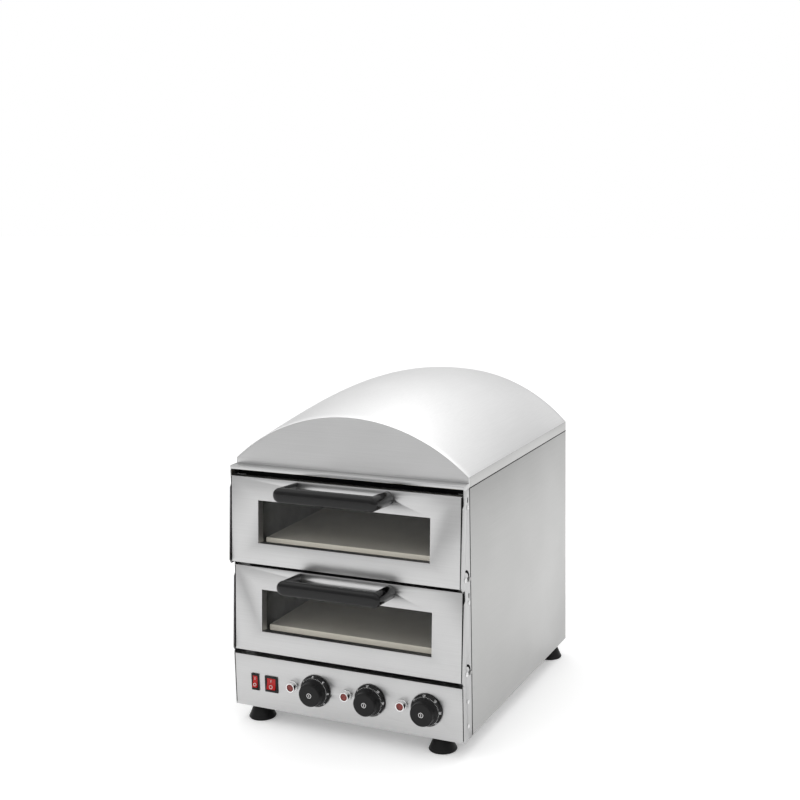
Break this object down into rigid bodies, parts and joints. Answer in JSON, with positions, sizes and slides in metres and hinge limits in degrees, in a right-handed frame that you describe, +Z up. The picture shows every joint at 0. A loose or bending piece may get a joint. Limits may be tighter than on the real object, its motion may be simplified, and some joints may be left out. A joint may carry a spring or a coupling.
{
  "type": "deck oven",
  "caption": "Countertop deck oven in brushed stainless steel: stacked chambers with glazed drop-down doors and bow handles, control panel below, curved roof.",
  "frame": {"origin": "on the worktop, under the middle of the object's box", "axes": "+Z up, +X to the right as seen from the front, +Y from the doors to the back"},
  "size_m": [0.4542, 0.615, 0.605],
  "materials": {
    "brushed_steel": "brushed, satin",
    "roof_steel": "bright, satin",
    "plain_steel": "plain rolled",
    "dark_steel": "heat-darkened",
    "rock_wool": "matt fibre",
    "stone": "fired cordierite, matt",
    "element_sheath": "oxidised",
    "copper": "plain",
    "lamp_glass": "clear",
    "zinc_plate": "bright zinc",
    "lamp_chrome": "polished",
    "orange_lens": "clear, ribbed",
    "black_plastic": "moulded",
    "red_plastic": "moulded",
    "ceramic": "glazed ceramic",
    "black_rubber": "moulded",
    "window_glass": "polished",
    "seal_rubber": "extruded",
    "handle_plastic": "polished phenolic",
    "knob_plastic": "moulded phenolic"
  },
  "bodies": {
    "casing": {"bottom_pan": "plain_steel", "left_side_panel": "brushed_steel", "right_side_panel": "brushed_steel", "left_front_post": "brushed_steel", "right_front_post": "brushed_steel", "front_ledge": "brushed_steel", "control_panel": "brushed_steel", "heat_shield": "plain_steel", "rear_panel": "plain_steel", "roof_cover": "roof_steel", "roof_gables": "brushed_steel", "roof_deck": "plain_steel", "upper_liner": "dark_steel", "lower_liner": "dark_steel", "insulation": "rock_wool", "upper_stone": "stone", "lower_stone": "stone", "stone_ledges": "dark_steel", "upper_elements": "element_sheath", "lower_elements": "element_sheath", "thermostat_bulbs": "copper", "oven_lamps": "lamp_glass", "timer": "zinc_plate", "upper_thermostat": "zinc_plate", "lower_thermostat": "zinc_plate", "lamp_bezels": "lamp_chrome", "lamp_lenses": "orange_lens", "light_switch_housing": "black_plastic", "main_switch_housing": "black_plastic", "terminal_block": "ceramic", "cable_gland": "black_plastic", "feet": "black_rubber", "foot_screws": "zinc_plate", "casing_screws": "zinc_plate", "hinge_screws": "zinc_plate"},
    "upper_door": {"upper_door_skin": "brushed_steel", "upper_door_pan": "plain_steel", "upper_door_glass": "window_glass", "upper_door_gasket": "seal_rubber", "upper_door_ears": "plain_steel", "upper_door_handle": "handle_plastic", "upper_handle_screws": "zinc_plate"},
    "lower_door": {"lower_door_skin": "brushed_steel", "lower_door_pan": "plain_steel", "lower_door_glass": "window_glass", "lower_door_gasket": "seal_rubber", "lower_door_ears": "plain_steel", "lower_door_handle": "handle_plastic", "lower_handle_screws": "zinc_plate"},
    "timer_dial": {"timer_knob": "knob_plastic", "timer_shaft": "zinc_plate"},
    "upper_dial": {"upper_knob": "knob_plastic", "upper_shaft": "zinc_plate"},
    "lower_dial": {"lower_knob": "knob_plastic", "lower_shaft": "zinc_plate"},
    "light_switch_rocker": {"light_rocker": "red_plastic"},
    "main_switch_rocker": {"main_rocker": "red_plastic"}
  },
  "joints": [
    {"name": "upper_door_hinge", "type": "hinge", "parent": "casing", "child": "upper_door", "pos_m": [0, -0.23595, 0.313], "axis": [1, 0, 0], "range_deg": [0, 90]},
    {"name": "lower_door_hinge", "type": "hinge", "parent": "casing", "child": "lower_door", "pos_m": [0, -0.23595, 0.149], "axis": [1, 0, 0], "range_deg": [0, 90]},
    {"name": "timer_dial_turn", "type": "hinge", "parent": "casing", "child": "timer_dial", "pos_m": [-0.058, -0.25045, 0.081], "axis": [0, 1, 0], "range_deg": [0, 270]},
    {"name": "upper_dial_turn", "type": "hinge", "parent": "casing", "child": "upper_dial", "pos_m": [0.0495, -0.25045, 0.081], "axis": [0, 1, 0], "range_deg": [0, 270]},
    {"name": "lower_dial_turn", "type": "hinge", "parent": "casing", "child": "lower_dial", "pos_m": [0.157, -0.25045, 0.081], "axis": [0, 1, 0], "range_deg": [0, 270]},
    {"name": "light_rocker_tilt", "type": "hinge", "parent": "casing", "child": "light_switch_rocker", "pos_m": [-0.182, -0.24745, 0.079], "axis": [1, 0, 0], "range_deg": [0, 18]},
    {"name": "main_rocker_tilt", "type": "hinge", "parent": "casing", "child": "main_switch_rocker", "pos_m": [-0.1485, -0.24745, 0.079], "axis": [1, 0, 0], "range_deg": [0, 18]}
  ]
}
